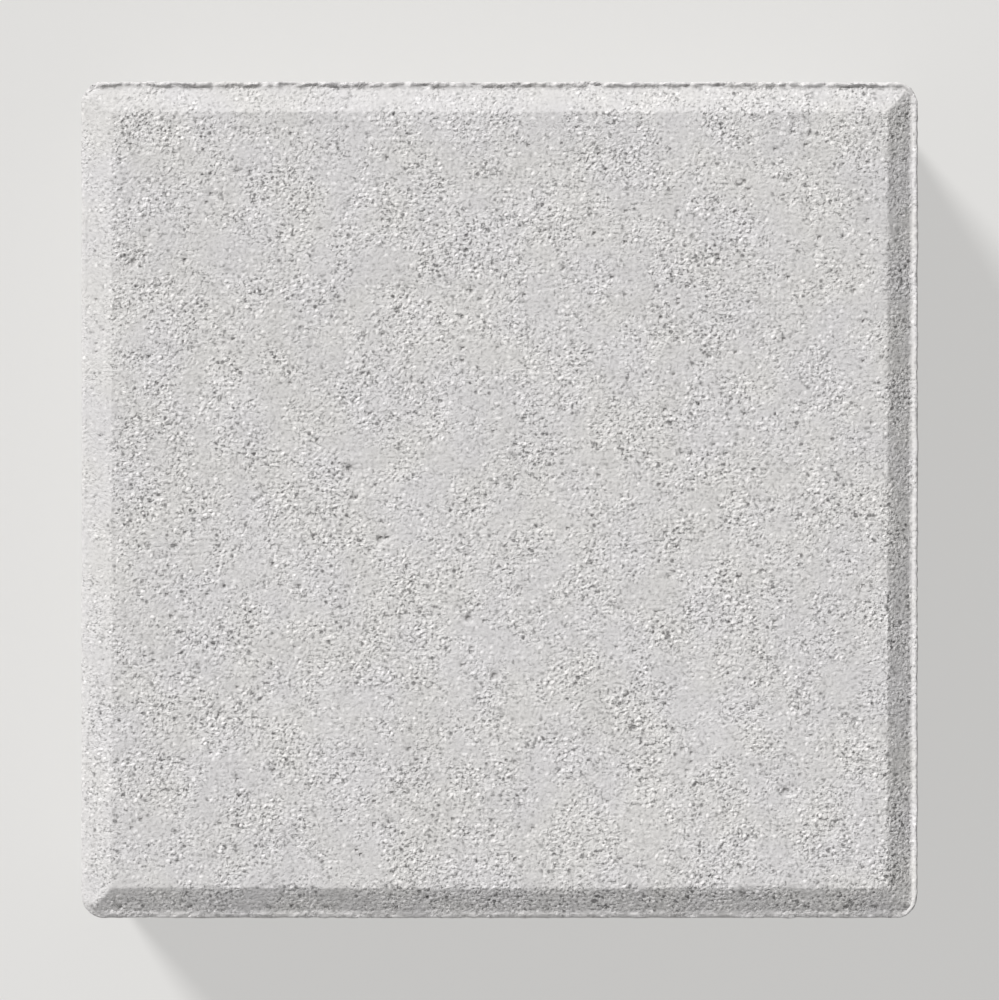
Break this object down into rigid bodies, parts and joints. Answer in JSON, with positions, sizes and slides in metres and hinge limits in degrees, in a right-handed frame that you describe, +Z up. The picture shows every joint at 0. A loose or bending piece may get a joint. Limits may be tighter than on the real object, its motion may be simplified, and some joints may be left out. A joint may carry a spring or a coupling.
{
  "type": "paving stone",
  "caption": "Square pressed concrete paving stone with a flat tread, a bevel round it and a narrow pressing rim at the bevel's foot.",
  "frame": {"origin": "centre of the bed face, the flat underside that the stone lies on", "axes": "+Z up from the bed face to the tread, +X and +Y along the sides"},
  "size_m": [0.198, 0.198, 0.06],
  "materials": {
    "concrete": "matte"
  },
  "bodies": {
    "root": {"paving_stone": "concrete"}
  },
  "joints": []
}
